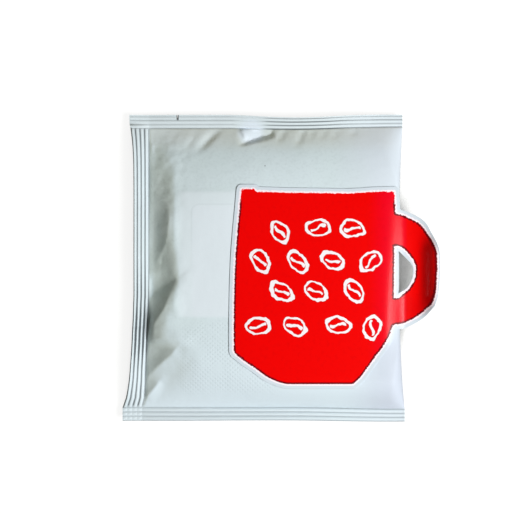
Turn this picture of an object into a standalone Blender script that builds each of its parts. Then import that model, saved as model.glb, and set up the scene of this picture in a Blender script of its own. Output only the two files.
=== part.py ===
"""A sealed drip coffee sachet lying on its back, with a mug-shaped paper label glued to its front.

X runs to the right across the sachet, Y up its height, Z up from the surface it lies on, all in metres.
The origin is the middle of the back panel, on that surface.
"""

import math

import bmesh
import bpy
from mathutils import Vector
from mathutils.geometry import delaunay_2d_cdt

# Sachet, laid flat before it is filled. The back panel's middle is a little left of the body's
BODY_WIDTH = 0.0985
BODY_SHIFT = 0.0034
BODY_HEIGHT = 0.109
SIDE_SEAL = 0.0076
END_SEAL = 0.0055
SIDE_RIBS = 4
TOP_MARGIN = 0.0021
TOP_RIBS = 2
BOTTOM_MARGIN = 0.0007
BOTTOM_RIBS = 3
RIB_DEPTH = 0.00035
FILM_PAIR = 0.0003

# Sachet, filled
BACK_LIFT = 0.0042
FRONT_HEIGHT = 0.0109
FRONT_CROWN = 0.0019
CROWN_Y = -0.0080
CROWN_HALF_WIDTH = 0.0560
CROWN_HALF_HEIGHT = 0.0660
TOP_RUN = 0.0250
BOTTOM_RUN = 0.0120
BACK_RUN = 0.0110
BACK_FOLD_RUN = 0.0130
FOLD_ROUND = 0.0018
FOLD_ROUND_ENDS = 0.0070
ROUND_GROWS_FROM = 0.0300
ROUND_GROWS_OVER = 0.0260
FOLD_LIFT = 0.0032
FOLD_DROP = 0.0019
DROP_START = 0.0085
DROP_RUN = 0.0115
CORNER_DROOP = 0.0012
BACK_CREASE_FADE = 0.0016

# How the filled sachet pulls its edges in and tips its seals up
SIDE_SEAL_TILT = math.radians(41)
TOP_SEAL_TILT = math.radians(44)
BOTTOM_SEAL_TILT = math.radians(15)
END_TILT = math.radians(5)
FOLD_PULL = 0.0015
FOLD_FLARE = 0.0009
SIDE_FLARE = 0.0029
SIDE_FLARE_TOP = -0.0109
BOTTOM_SKEW = 0.0004
SIDE_TILT_CENTRE = 0.0020
SIDE_TILT_BEYOND = 0.0035
TOP_TILT_CENTRE = 0.0050
TOP_TILT_REACH = 0.0340

# Tear slit in the top seal
SLIT_FROM_SIDE_SEAL = 0.0109
SLIT_DEPTH = 0.0021
SLIT_WIDTH = 0.0004

# Label
LABEL_THICKNESS = 0.0003
LABEL_GAP = 0.0004
LABEL_BORDER = 0.0019
HANDLE_BORDER = 0.0011
BORDER_NARROWS_FROM = 0.0080
BORDER_NARROWS_OVER = 0.0060
LABEL_MESH = 0.0045
CURVED_MESH = 0.0013
OUTLINE_STEP = 0.0018
STRETCH = 1.3
POINT_CLEARANCE = 0.4
POINT_TOLERANCE = 1e-7
HANDLE_CURL = 0.0049
CURL_START = 0.0072
CURL_RUN = 0.0072
MUG_WIDTH = 0.0646
MUG_HEIGHT = 0.0758
HANDLE_REACH = 0.0150

# The mug's printed outline, from the sachet's fold and mid height: across as shares of the mug's width
# to the left and of the handle's reach to the right, up as shares of the mug's height. Each stretch
# starts at a corner, and a stretch marked round is one smooth curve through its points.
MUG_OUTLINE = (
    ("rim", False, ((-0.950, 0.398), (-0.870, 0.398), (-0.861, 0.387))),
    ("rim dip", True, ((-0.689, 0.381), (-0.477, 0.379), (-0.296, 0.377), (-0.146, 0.385))),
    ("right side", False, ((-0.034, 0.388), (-0.025, 0.273))),
    ("handle", True, ((0.080, 0.263), (0.493, 0.222), (0.700, 0.181), (0.880, 0.127),
                      (0.973, 0.079), (1.000, 0.013), (0.987, -0.090), (0.920, -0.162))),
    ("handle foot", False, ((0.833, -0.190),)),
    ("handle return", True, ((0.647, -0.227), (0.440, -0.260), (0.207, -0.285), (0.040, -0.296))),
    ("lower right", True, ((-0.022, -0.297), (-0.034, -0.311), (-0.048, -0.350), (-0.085, -0.401),
                           (-0.146, -0.466), (-0.229, -0.555))),
    ("foot", False, ((-0.282, -0.596), (-0.683, -0.596))),
    ("lower left", True, ((-0.743, -0.587), (-0.828, -0.553), (-0.899, -0.509), (-0.978, -0.466))),
    ("left side", True, ((-1.000, -0.447), (-0.995, -0.322), (-0.994, -0.168), (-0.989, 0.013),
                         (-0.977, 0.168), (-0.961, 0.296))),
)
HOLE_OUTLINE = (
    ("top", False, ((0.000, 0.087),)),
    ("bow", True, ((0.147, 0.055), (0.320, 0.021), (0.373, -0.008), (0.360, -0.051),
                   (0.260, -0.095), (0.153, -0.115))),
    ("bottom", False, ((0.000, -0.131),)),
)

# How the front film comes up from the side seal, at heights given as shares of the body's half height:
# (share, distance over which it comes up, how arched)
SIDE_RISE = (
    (-1.00, 0.0260, 0.60), (-0.84, 0.0240, 0.60), (-0.66, 0.0160, 0.80), (-0.50, 0.0150, 1.00),
    (-0.39, 0.0140, 1.00), (-0.26, 0.0110, 0.25), (-0.07, 0.0114, 0.00), (0.29, 0.0108, 0.00),
    (0.50, 0.0110, 0.15), (0.70, 0.0130, 0.45), (0.92, 0.0180, 0.60), (1.00, 0.0220, 0.30),
)
TOP_ARCH = 0.8
BOTTOM_ARCH = 0.6
BACK_ARCH = 0.4
FOLD_ARCH = 0.5

# Creases in the film. Each has the seal it starts from, its form, points along its line as (distance
# in from that seal, place along it from the sachet's centre), its width to the left and to the right
# of that line, and its height. A ridge stands up and a valley is pressed in, both sharp at the line,
# and a step lifts all that lies to its right.
FRONT_CREASES = (
    ("side", "step", ((0.0023, 0.0430), (0.0044, 0.0270), (0.0066, 0.0160), (0.0052, 0.0060)),
     0.0032, 0.0032, 0.0005),
    ("side", "ridge", ((0.0079, 0.0240), (0.0082, 0.0186), (0.0065, 0.0094), (0.0013, 0.0000)),
     0.0060, 0.0030, 0.0010),
    ("side", "valley", ((0.0000, -0.0104), (0.0045, -0.0086), (0.0112, -0.0040)), 0.0070, 0.0042, 0.0020),
    ("side", "ridge", ((0.0001, -0.0296), (0.0024, -0.0216), (0.0064, -0.0156), (0.0092, -0.0074)),
     0.0044, 0.0090, 0.0017),
    ("side", "valley", ((0.0001, -0.0310), (0.0001, -0.0250), (0.0001, -0.0180)), 0.0010, 0.0030, 0.0026),
    ("side", "ridge", ((0.0009, -0.0436), (0.0055, -0.0382), (0.0105, -0.0336), (0.0135, -0.0294)),
     0.0038, 0.0080, 0.0015),
    ("top", "valley", ((0.0093, -0.0258), (0.0055, -0.0226), (0.0009, -0.0184)), 0.0034, 0.0022, 0.0013),
    ("top", "valley", ((0.0070, -0.0112), (0.0042, -0.0048), (0.0015, 0.0018)), 0.0048, 0.0023, 0.0027),
    ("top", "ridge", ((0.0049, -0.0082), (0.0025, -0.0090), (0.0000, -0.0104)), 0.0016, 0.0050, 0.0010),
    ("top", "valley", ((0.0051, 0.0048), (0.0001, 0.0072)), 0.0022, 0.0014, 0.0008),
    ("top", "valley", ((0.0065, 0.0120), (0.0001, 0.0146)), 0.0024, 0.0014, 0.0009),
    ("top", "valley", ((0.0049, 0.0164), (0.0001, 0.0182)), 0.0016, 0.0012, 0.0005),
)
BACK_CREASES = (
    ("side", "valley", ((0.0001, 0.0245), (0.0048, 0.0170)), 0.0040, 0.0030, 0.0009),
    ("side", "valley", ((0.0001, -0.0050), (0.0078, -0.0120)), 0.0040, 0.0030, 0.0010),
    ("side", "ridge", ((0.0001, -0.0310), (0.0078, -0.0260)), 0.0040, 0.0030, 0.0008),
    ("top", "valley", ((0.0011, -0.0145), (0.0089, -0.0080)), 0.0040, 0.0030, 0.0009),
    ("top", "ridge", ((0.0011, 0.0205), (0.0075, 0.0165)), 0.0040, 0.0030, 0.0007),
)

# Mesh lines across the film, between its seals
EDGE_LINE = 0.0013
WIDEST_ACROSS = 0.0047
WIDEST_UP = 0.0029
LINE_GROWTH = 1.15

# Each crimped rib from its groove: (share of the rib's width, depth)
RIB_SECTION = ((0.0, RIB_DEPTH), (0.22, 0.0), (0.78, 0.0))
# The plain margin outside the ribs, as shares of its width still to go
MARGIN_SECTION = (0.75, 0.0)

# Shapes of the curves: how suddenly the fold is pulled in towards its middle, how a bulge along an
# edge runs out, how near the corners the droop keeps, how a crease falls off to its sides and at its
# ends, how sudden a step is and how many widths it reaches, and how flat the side seal's tilt stays
FOLD_PULL_POWER = 2.4
BUMP_FINISH = 1.5
DROOP_POWER = 3
CREASE_POWER = 1.7
CREASE_END_POWER = 0.6
CREASE_END = 0.04
STEP_GAIN = 1.3
STEP_REACH = 2.6
SIDE_TILT_POWER = 9.0

# The label's border turns round corners sharper than the first angle, in steps of the second, and its
# cut edge keeps at least this share of the border clear of the print
ROUNDED_TURN = math.radians(20)
TURN_STEP = math.radians(26)
BORDER_KEPT = 0.95
SHARPEST_MITRE = 0.5
CREASED_ANGLE = math.radians(40)

INNER_LEFT = BODY_SHIFT - BODY_WIDTH / 2
INNER_RIGHT = BODY_SHIFT + BODY_WIDTH / 2
FOLD_X = INNER_RIGHT - FOLD_PULL
INNER_TOP = BODY_HEIGHT / 2
INNER_BOTTOM = -BODY_HEIGHT / 2


def ease(share):
    """0 to 1 with level ends."""
    share = min(max(share, 0.0), 1.0)
    return share * share * (3 - 2 * share)


def swell(distance, run, arch):
    """How far the film has come up at a distance in from its seal: 0 at the seal, 1 past the run."""
    share = min(max(distance / run, 0.0), 1.0)
    return arch * (1 - (1 - share) ** 3) + (1 - arch) * ease(share)


def rounded(distance, radius):
    """Quarter ellipse at the fold: 0 at the fold, 1 past the radius."""
    share = 1 - min(max(distance / radius, 0.0), 1.0)
    return math.sqrt(1 - share * share)


def middle_bump(place, centre, half_length, power=2.0):
    """1 at the middle of an edge, falling to 0 at its ends."""
    share = min(abs(place - centre) / half_length, 1.0)
    return (1 - share ** power) ** BUMP_FINISH


def side_seal_line(y):
    """X of the side seal's inner line, which splays out towards the bottom corner."""
    return INNER_LEFT - SIDE_FLARE * ease((SIDE_FLARE_TOP - y) / (SIDE_FLARE_TOP - INNER_BOTTOM))


def fold_line(y):
    """X of the folded edge, pulled in at its middle."""
    away = abs(y) / INNER_TOP
    flare = FOLD_FLARE if y < 0 else 0.0
    return FOLD_X + (FOLD_PULL + flare) * away ** FOLD_PULL_POWER


def label_drop(x):
    """How far the label, and the film glued to it, bend down on the way to the fold."""
    return FOLD_DROP * ease((x - (FOLD_X - DROP_START)) / DROP_RUN)


def plateau(x, y):
    """Height of the taut front film over the filter bag inside it."""
    across = 1 - min(abs(x) / CROWN_HALF_WIDTH, 1.0) ** 2
    along = 1 - min(abs(y - CROWN_Y) / CROWN_HALF_HEIGHT, 1.0) ** 2
    return FRONT_HEIGHT + FRONT_CROWN * across * along - label_drop(x)


def seal_plane(x, y):
    """Height of the seals and the fold over the surface, drooping at the four corners."""
    to_fold = ease((x - INNER_LEFT) / BODY_WIDTH)
    lift = FOLD_LIFT * to_fold * middle_bump(y, 0.0, INNER_TOP)
    out_x = abs(x) / (BODY_WIDTH / 2)
    out_y = abs(y) / INNER_TOP
    return BACK_LIFT + lift - CORNER_DROOP * (out_x * out_y) ** DROOP_POWER


def side_rise(y):
    """Run and arch of the front film's rise from the side seal at a height, read off SIDE_RISE."""
    share = y / INNER_TOP
    for (low, low_run, low_arch), (high, high_run, high_arch) in zip(SIDE_RISE, SIDE_RISE[1:]):
        if share < high:
            part = max(share - low, 0.0) / (high - low)
            return low_run + (high_run - low_run) * part, low_arch + (high_arch - low_arch) * part
    return SIDE_RISE[-1][1:]


def along_line(here, points):
    """Share of a crease's line at the point on it nearest to here, and the distance from it, which is
    positive to the line's left."""
    lengths = [(b - a).length for a, b in zip(points, points[1:])]
    passed, best = 0.0, None
    for start, end, length in zip(points, points[1:], lengths):
        line = end - start
        share = min(max((here - start).dot(line) / line.length_squared, 0.0), 1.0)
        offset = here - (start + line * share)
        side = math.copysign(offset.length, line.x * offset.y - line.y * offset.x)
        if best is None or abs(side) < abs(best[1]):
            best = ((passed + share * length) / sum(lengths), side)
        passed += length
    return best


def crease_height(crease, inward_side, inward_top, x, y):
    """Height that one crease adds to the film at a point."""
    seal, form, points, left, right, height = crease
    here = Vector((inward_side, y)) if seal == "side" else Vector((inward_top, x))
    share, off = along_line(here, [Vector(point) for point in points])
    height *= math.sin(math.pi * min(max(share, CREASE_END), 1 - CREASE_END)) ** CREASE_END_POWER
    if form == "step":
        return -height * math.tanh(STEP_GAIN * off / left) * math.exp(-((off / (STEP_REACH * left)) ** 2))
    near = max(1 - (off / left if off > 0 else -off / right), 0.0) ** CREASE_POWER
    return height * near if form == "ridge" else -height * near


def smooth_front(x, y):
    """Height of the front film without its creases."""
    base = seal_plane(x, y)
    run, arch = side_rise(y)
    fold_round = FOLD_ROUND + FOLD_ROUND_ENDS * ease((abs(y) - ROUND_GROWS_FROM) / ROUND_GROWS_OVER)
    inward = (
        swell(x - side_seal_line(y), run, arch)
        * swell(INNER_TOP - y, TOP_RUN, TOP_ARCH)
        * swell(y - INNER_BOTTOM, BOTTOM_RUN, BOTTOM_ARCH)
        * rounded(fold_line(y) - x, fold_round)
    )
    return base + (plateau(x, y) - base) * inward


def creases_height(creases, x, y):
    """Height that a film's creases add, fading out by the seals."""
    inward_side = x - side_seal_line(y)
    inward_top = INNER_TOP - y
    added = sum(crease_height(crease, inward_side, inward_top, x, y) for crease in creases)
    return added * ease(inward_side / EDGE_LINE) * ease(inward_top / EDGE_LINE)


def front_height(x, y):
    """Height of the front film."""
    return smooth_front(x, y) + creases_height(FRONT_CREASES, x, y) + FILM_PAIR / 2


def back_height(x, y):
    """Height of the back film: flat on the surface under the filter bag, up to the seals around it."""
    base = seal_plane(x, y)
    inward = (
        swell(x - side_seal_line(y), BACK_RUN, BACK_ARCH)
        * swell(INNER_TOP - y, TOP_RUN, BACK_ARCH)
        * swell(y - INNER_BOTTOM, BOTTOM_RUN, BOTTOM_ARCH)
        * swell(fold_line(y) - x, BACK_FOLD_RUN, FOLD_ARCH)
    )
    free = (base - FILM_PAIR / 2) * (1 - inward)
    return free + creases_height(BACK_CREASES, x, y) * ease(free / BACK_CREASE_FADE)


def body_shares(length, widest):
    """Shares of the length where the mesh has lines: close near both ends, wide between."""
    near, step, place = [], EDGE_LINE, EDGE_LINE
    while place < length / 2:
        near.append(place)
        step = min(step * LINE_GROWTH, widest)
        place += step
    if length / 2 - near[-1] < step / 2:
        near[-1] = length / 2
    far = [length - place for place in near if place < length / 2]
    return [place / length for place in near + far[::-1]]


def rib_lines(seal, ribs, margin=0.0):
    """Mesh lines over a seal's ribs and its plain outer margin, as (distance out from the seal's
    inner line, crimp depth)."""
    width = (seal - margin) / ribs
    lines = []
    for rib in range(ribs):
        lines += [((rib + part) * width, depth) for part, depth in RIB_SECTION]
    lines.append((seal - margin, RIB_DEPTH))
    return lines + [(seal - margin * part, 0.0) for part in MARGIN_SECTION] if margin else lines


def mesh_lines(low_seal, body, high_seal):
    """Mesh lines across the web, as (distance out from the body at the low end, share of the body,
    distance out at the high end, crimp depth)."""
    low = [(out, 0.0, 0.0, depth) for out, depth in low_seal]
    middle = [(0.0, share, 0.0, 0.0) for share in body]
    high = [(0.0, 1.0, out, depth) for out, depth in high_seal]
    return low[::-1] + middle + high


def seal_tilt(most, place, centre, half_length, power=2.0):
    """How far a seal is tipped up at a place along it, most at its centre."""
    return END_TILT + (most - END_TILT) * middle_bump(place, centre, half_length, power)


def web_point(column, row, front):
    """A point of the front or back film, from its mesh lines across (column) and up (row)."""
    out_left, across, _, crimp_x = column
    out_bottom, up, out_top, crimp_y = row
    y = INNER_BOTTOM + (INNER_TOP - INNER_BOTTOM) * up
    left = side_seal_line(y)
    x = left + (fold_line(y) - left) * across
    if across == 0.0 or up in (0.0, 1.0):
        z = seal_plane(x, y) + (FILM_PAIR / 2 if front else -FILM_PAIR / 2) - max(crimp_x, crimp_y)
    else:
        z = front_height(x, y) if front else back_height(x, y)
    side_reach = INNER_TOP + SIDE_TILT_BEYOND
    side_tilt = seal_tilt(SIDE_SEAL_TILT, y, SIDE_TILT_CENTRE, side_reach, SIDE_TILT_POWER)
    top_tilt = seal_tilt(TOP_SEAL_TILT, x, TOP_TILT_CENTRE, TOP_TILT_REACH)
    bottom_tilt = seal_tilt(BOTTOM_SEAL_TILT, x, 0.0, BODY_WIDTH / 2)
    z += out_left * math.sin(side_tilt) + out_top * math.sin(top_tilt) + out_bottom * math.sin(bottom_tilt)
    skew = -BOTTOM_SKEW * x / (BODY_WIDTH / 2) * (1 - up)
    return Vector((
        x - out_left * math.cos(side_tilt),
        y + skew + out_top * math.cos(top_tilt) - out_bottom * math.cos(bottom_tilt),
        z,
    ))


def material(name, colour, roughness, metallic=0.0):
    made = bpy.data.materials.new(name)
    made.use_nodes = True
    shader = made.node_tree.nodes["Principled BSDF"]
    shader.inputs["Base Color"].default_value = (*colour, 1.0)
    shader.inputs["Roughness"].default_value = roughness
    shader.inputs["Metallic"].default_value = metallic
    return made


def add_object(name, shape, *materials):
    mesh = bpy.data.meshes.new(name)
    shape.to_mesh(mesh)
    shape.free()
    thing = bpy.data.objects.new(name, mesh)
    for one in materials:
        mesh.materials.append(one)
    bpy.context.scene.collection.objects.link(thing)
    return thing


def add_slit_cutter():
    """A thin upright plate where the tear slit cuts through the top seal."""
    x = INNER_LEFT + SLIT_FROM_SIDE_SEAL
    shape = bmesh.new()
    bmesh.ops.create_cube(shape, size=1.0)
    far = INNER_TOP + END_SEAL + SLIT_DEPTH
    near = INNER_TOP + END_SEAL - SLIT_DEPTH
    for vertex in shape.verts:
        vertex.co = Vector((
            x + vertex.co.x * SLIT_WIDTH,
            far if vertex.co.y > 0 else near,
            BACK_LIFT + vertex.co.z * 2 * END_SEAL,
        ))
    cutter = add_object("slit_cutter", shape)
    cutter.hide_render = True
    cutter.display_type = "WIRE"
    return cutter


def add_sachet():
    """The sachet: a front and a back film on the same mesh lines, joined round their rim."""
    across = body_shares(BODY_WIDTH, WIDEST_ACROSS) + [1.0]
    columns = mesh_lines(rib_lines(SIDE_SEAL, SIDE_RIBS), across, [])
    up = body_shares(BODY_HEIGHT, WIDEST_UP)
    bottom_seal = rib_lines(END_SEAL, BOTTOM_RIBS, BOTTOM_MARGIN)
    rows = mesh_lines(bottom_seal, up, rib_lines(END_SEAL, TOP_RIBS, TOP_MARGIN))
    shape = bmesh.new()
    for front in (True, False):
        net = [[shape.verts.new(web_point(column, row, front)) for column in columns] for row in rows]
        for low, high in zip(net, net[1:]):
            for i in range(len(columns) - 1):
                corners = (low[i], low[i + 1], high[i + 1], high[i])
                shape.faces.new(corners if front else corners[::-1])
    rim = [edge for edge in shape.edges if edge.is_boundary]
    bmesh.ops.bridge_loops(shape, edges=rim)
    bmesh.ops.recalc_face_normals(shape, faces=shape.faces)
    film = material("white_film", (0.66, 0.72, 0.72), 0.38)
    sachet = add_object("sachet", shape, film)
    sachet.data.shade_smooth()
    sachet.data.set_sharp_from_angle(angle=CREASED_ANGLE)
    slit = sachet.modifiers.new("tear slit", "BOOLEAN")
    slit.operation = "DIFFERENCE"
    slit.solver = "EXACT"
    slit.object = add_slit_cutter()
    return sachet


def curve_through(points, before, after, step):
    """Points about a step apart on one smooth curve through the given ones."""
    chain = [before, *points, after]
    made = []
    for start, first, second, end in zip(chain, chain[1:], chain[2:], chain[3:]):
        count = max(1, round((second - first).length / step))
        for i in range(count):
            t = i / count
            made.append(
                0.5 * (2 * first + (second - start) * t
                       + (2 * start - 5 * first + 4 * second - end) * t * t
                       + (3 * first - start - 3 * second + end) * t ** 3)
            )
    made.append(points[-1])
    return made


def mug_point(across, up):
    """A plan point from its shares of the mug's size."""
    return Vector((FOLD_X + across * (MUG_WIDTH if across < 0 else HANDLE_REACH), up * MUG_HEIGHT))


def outline_points(outline, step):
    """A closed outline as plan points about a step apart, set out from the fold."""
    stretches = [[mug_point(*shares) for shares in points] for _, _, points in outline]
    made = []
    for i, (_, is_round, _) in enumerate(outline):
        points = stretches[i]
        before = stretches[i - 1][-1]
        after = stretches[(i + 1) % len(stretches)][0]
        if is_round:
            made += curve_through(points, before, after, step)
        else:
            made += points
    return filled_in(made, step * STRETCH)


def filled_in(points, longest):
    """The same closed outline, with no stretch between two points longer than this."""
    made = []
    for first, second in zip(points, points[1:] + points[:1]):
        count = max(1, math.ceil((second - first).length / longest))
        made += [first.lerp(second, i / count) for i in range(count)]
    return made


def border_at(x):
    """Width of the label's white border, narrower round the outside of the handle."""
    narrow = ease((x - FOLD_X - BORDER_NARROWS_FROM) / BORDER_NARROWS_OVER)
    return LABEL_BORDER + (HANDLE_BORDER - LABEL_BORDER) * narrow


def with_border(points):
    """A clockwise outline moved outwards by the border, with round corners where it turns out and no
    loops where it turns in."""
    made = []
    for last, here, following in zip(points[-1:] + points[:-1], points, points[1:] + points[:1]):
        into = (here - last).normalized()
        out_of = (following - here).normalized()
        side_in = Vector((-into.y, into.x))
        side_out = Vector((-out_of.y, out_of.x))
        turn = math.atan2(into.x * out_of.y - into.y * out_of.x, into.dot(out_of))
        by = border_at(here.x)
        if turn < -ROUNDED_TURN:
            count = math.ceil(-turn / TURN_STEP)
            start = math.atan2(side_in.y, side_in.x)
            angles = [start + turn * i / count for i in range(count + 1)]
            made += [here + by * Vector((math.cos(a), math.sin(a))) for a in angles]
        else:
            middle = (side_in + side_out).normalized()
            made.append(here + middle * by / max(math.cos(turn / 2), SHARPEST_MITRE))
    return [point for point in made if distance_to(point, points) > BORDER_KEPT * border_at(point.x)]


def is_inside(point, outline):
    """Whether a plan point lies inside a closed outline."""
    inside = False
    for a, b in zip(outline, outline[1:] + outline[:1]):
        if (a.y > point.y) != (b.y > point.y):
            crossing = a.x + (point.y - a.y) / (b.y - a.y) * (b.x - a.x)
            inside ^= point.x < crossing
    return inside


def label_height(x, y):
    """Height of the label's underside: on the film as far as the fold, where the stiff paper goes
    straight on, then out along its own curve at the handle."""
    film_x = min(x, FOLD_X - FOLD_ROUND)
    share = min(max((x - FOLD_X - CURL_START) / CURL_RUN, 0.0), 1.0)
    curl = HANDLE_CURL * share ** 3 * (4 - 3 * share)
    dropped = label_drop(x) - label_drop(film_x)
    return smooth_front(film_x, y) + FILM_PAIR / 2 + LABEL_GAP - dropped + curl


def distance_to(point, outline):
    """Distance in plan from a point to the nearest stretch of a closed outline."""
    nearest = math.inf
    for a, b in zip(outline, outline[1:] + outline[:1]):
        line = b - a
        share = min(max((point - a).dot(line) / line.length_squared, 0.0), 1.0)
        nearest = min(nearest, (a + line * share - point).length)
    return nearest


def mesh_places(outline, curved_from, curved_to):
    """Places from the lowest to the highest of an outline's, close together where the sheet is bent."""
    made = [min(outline)]
    while made[-1] < max(outline):
        bent = curved_from - LABEL_MESH < made[-1] < curved_to
        made.append(made[-1] + (CURVED_MESH if bent else LABEL_MESH))
    return made


def add_label():
    """The label: a sheet of paper cut to the mug's outline and the handle's hole, bent onto the film."""
    print_edge = outline_points(MUG_OUTLINE, OUTLINE_STEP)
    cut_edge = with_border(print_edge)
    hole = outline_points(HOLE_OUTLINE, OUTLINE_STEP)
    loops = (cut_edge, print_edge, hole)
    points, edges = [], []
    for loop in loops:
        first = len(points)
        points += loop
        edges += [(first + i, first + (i + 1) % len(loop)) for i in range(len(loop))]
    across = mesh_places([p.x for p in cut_edge], FOLD_X - DROP_START, FOLD_X + HANDLE_REACH)
    up = mesh_places([p.y for p in cut_edge], INNER_BOTTOM, INNER_BOTTOM + BOTTOM_RUN)
    for i, (x, next_x) in enumerate(zip(across, across[1:])):
        for y, next_y in zip(up, up[1:]):
            point = Vector((x, (y + next_y) / 2 if i % 2 else y))
            spare = POINT_CLEARANCE * min(next_x - x, next_y - y)
            inside = is_inside(point, cut_edge) and not is_inside(point, hole)
            if inside and min(distance_to(point, loop) for loop in loops) > spare:
                points.append(point)
    flat, _, faces, _, _, _ = delaunay_2d_cdt(points, edges, [], 0, POINT_TOLERANCE)
    shape = bmesh.new()
    corners = [shape.verts.new((p.x, p.y, label_height(p.x, p.y))) for p in flat]
    for face in faces:
        centre = sum((flat[i] for i in face), Vector((0.0, 0.0))) / len(face)
        if is_inside(centre, cut_edge) and not is_inside(centre, hole):
            made = shape.faces.new([corners[i] for i in face])
            made.material_index = 1 if is_inside(centre, print_edge) else 0
    bmesh.ops.delete(shape, geom=[v for v in shape.verts if not v.link_faces], context="VERTS")
    bmesh.ops.recalc_face_normals(shape, faces=shape.faces)
    if sum(face.normal.z for face in shape.faces) < 0:
        bmesh.ops.reverse_faces(shape, faces=shape.faces)
    paper = material("label_paper", (0.80, 0.83, 0.85), 0.35)
    ink = material("label_ink", (0.80, 0.005, 0.012), 0.30)
    label = add_object("cup_label", shape, paper, ink)
    sheet = label.modifiers.new("paper", "SOLIDIFY")
    sheet.thickness = LABEL_THICKNESS
    sheet.offset = 1.0
    return label


def main():
    for thing in list(bpy.data.objects):
        bpy.data.objects.remove(thing)
    add_sachet()
    add_label()


main()
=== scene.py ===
import math
import bpy
import numpy as np
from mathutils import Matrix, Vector, noise


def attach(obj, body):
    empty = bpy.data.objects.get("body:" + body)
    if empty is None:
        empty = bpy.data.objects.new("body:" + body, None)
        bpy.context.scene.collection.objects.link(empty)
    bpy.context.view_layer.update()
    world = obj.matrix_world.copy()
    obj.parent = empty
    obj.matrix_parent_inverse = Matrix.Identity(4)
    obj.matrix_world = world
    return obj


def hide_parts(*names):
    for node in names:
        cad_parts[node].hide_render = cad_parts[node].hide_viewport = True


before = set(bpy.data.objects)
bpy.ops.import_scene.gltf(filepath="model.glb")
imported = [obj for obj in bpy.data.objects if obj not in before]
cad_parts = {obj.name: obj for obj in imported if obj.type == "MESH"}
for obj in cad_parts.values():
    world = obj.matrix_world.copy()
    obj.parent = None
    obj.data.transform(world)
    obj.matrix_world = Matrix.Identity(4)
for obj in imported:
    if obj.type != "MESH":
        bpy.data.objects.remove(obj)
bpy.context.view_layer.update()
mm = 0.001  # everything below is written in millimetres


# the sachet: sizes when flat, how the filled one rises from its seals, and how its seals tip up
sachetSizes = {
    "bodyWidth": 98.5, "bodyHeight": 108.8, "bodyShift": 3.4,
    "sideSeal": 7.6, "sideRibs": 4, "endSeal": 5.15,
    "topMargin": 0.55, "topRibs": 3, "bottomMargin": 0.2, "bottomRibs": 3,
    "ribDepth": 0.34, "filmPair": 0.3,
    "backLift": 4.2, "frontHeight": 10.9, "crown": 1.9, "crownY": -8.0,
    "crownHalfWidth": 56.0, "crownHalfHeight": 66.0,
    "topRun": 25.0, "topRunSides": 0.3, "topRunLeft": 0.35, "bottomRun": 12.0,
    "backSideRun": 11.0, "backFoldRun": 13.0,
    "foldRound": 1.8, "foldRoundEnds": 7.0, "foldRoundTop": 0.35, "foldLift": 3.2, "cornerDroop": 1.2,
    "sideTilt": 41.0, "topTilt": 31.0, "bottomTilt": 21.0, "endTilt": 5.0,
    "foldPull": 1.5, "foldFlare": 0.9,
    "topTiltCentre": 12.0, "cutCurl": 0.45, "kinkY": -22.6, "kinkDepth": 0.5,
    "seamLine": 0.21, "sideLine": 0.5, "middleLine": 1.25, "upLine": 0.68,
    "slitX": -34.7, "slitDepth": 2.0, "slitWidth": 0.42,
}

# the grooves of the crimped seals: how wide, and how deep where the seals cross and along their edges
sealCuts = {
    "wide": 1.1, "wider": 1.3, "widerY": -25.0, "widerHalf": 11.0, "underTop": 0.12, "underBottom": 0.5,
    "sideInner": 0.5, "endInner": 0.22, "rim": 1.2,
}

# how the end seals lean off level, and how much narrower they are at the fold
endSkew = {"top": -0.27, "topMiddle": -0.42, "topRight": 0.57, "bottomRight": -0.75, "narrower": 0.08}

# the label's slope before the fold: where it starts, how deep it is, and how that changes up the sachet
labelSlope = {
    "start": 9.4, "run": 11.6, "depth": 1.45, "middleY": -4.0, "swing": 0.45, "swingRun": 16.0,
    "lowY": -26.0, "lowLess": 0.6, "highY": 36.0, "highMore": 1.2, "endRun": 12.0,
}

# how high the film's small unevenness is, and over how many millimetres
filmWaves = {
    "dents": 0.40, "dentSize": 6.0, "sway": 0.12, "swaySize": 15.0,
    "fine": 0.03, "crumple": 0.20, "crumpleSize": 2.6,
    "back": 0.35, "backSize": 8.0, "seal": 0.35, "sealSize": 9.0,
}

# how the film rises from the side seal at some heights: (y, run, how arched)
sideRise = (
    (-56.0, 28.0, 0.8), (-50.0, 27.0, 0.8), (-45.0, 25.0, 0.75), (-36.0, 22.0, 0.6), (-30.5, 19.0, 0.55),
    (-27.5, 15.0, 1.0), (-21.0, 14.0, 1.0),
    (-14.0, 11.0, 0.25), (-4.0, 12.4, 0.0), (16.0, 10.8, 0.0), (27.0, 11.0, 0.15), (38.0, 10.5, 0.35),
    (50.0, 12.5, 0.5), (56.0, 16.0, 0.4),
)

# how far the side seal's inner line bends out at some heights: (y, out)
sideFlare = (
    (-54.4, 2.7), (-53.4, 2.4), (-50.6, 1.7), (-44.4, 1.4), (-38.2, 1.2), (-29.0, 0.75), (-24.3, 0.58),
    (-19.6, 0.3), (-10.9, 0.0),
)

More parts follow.
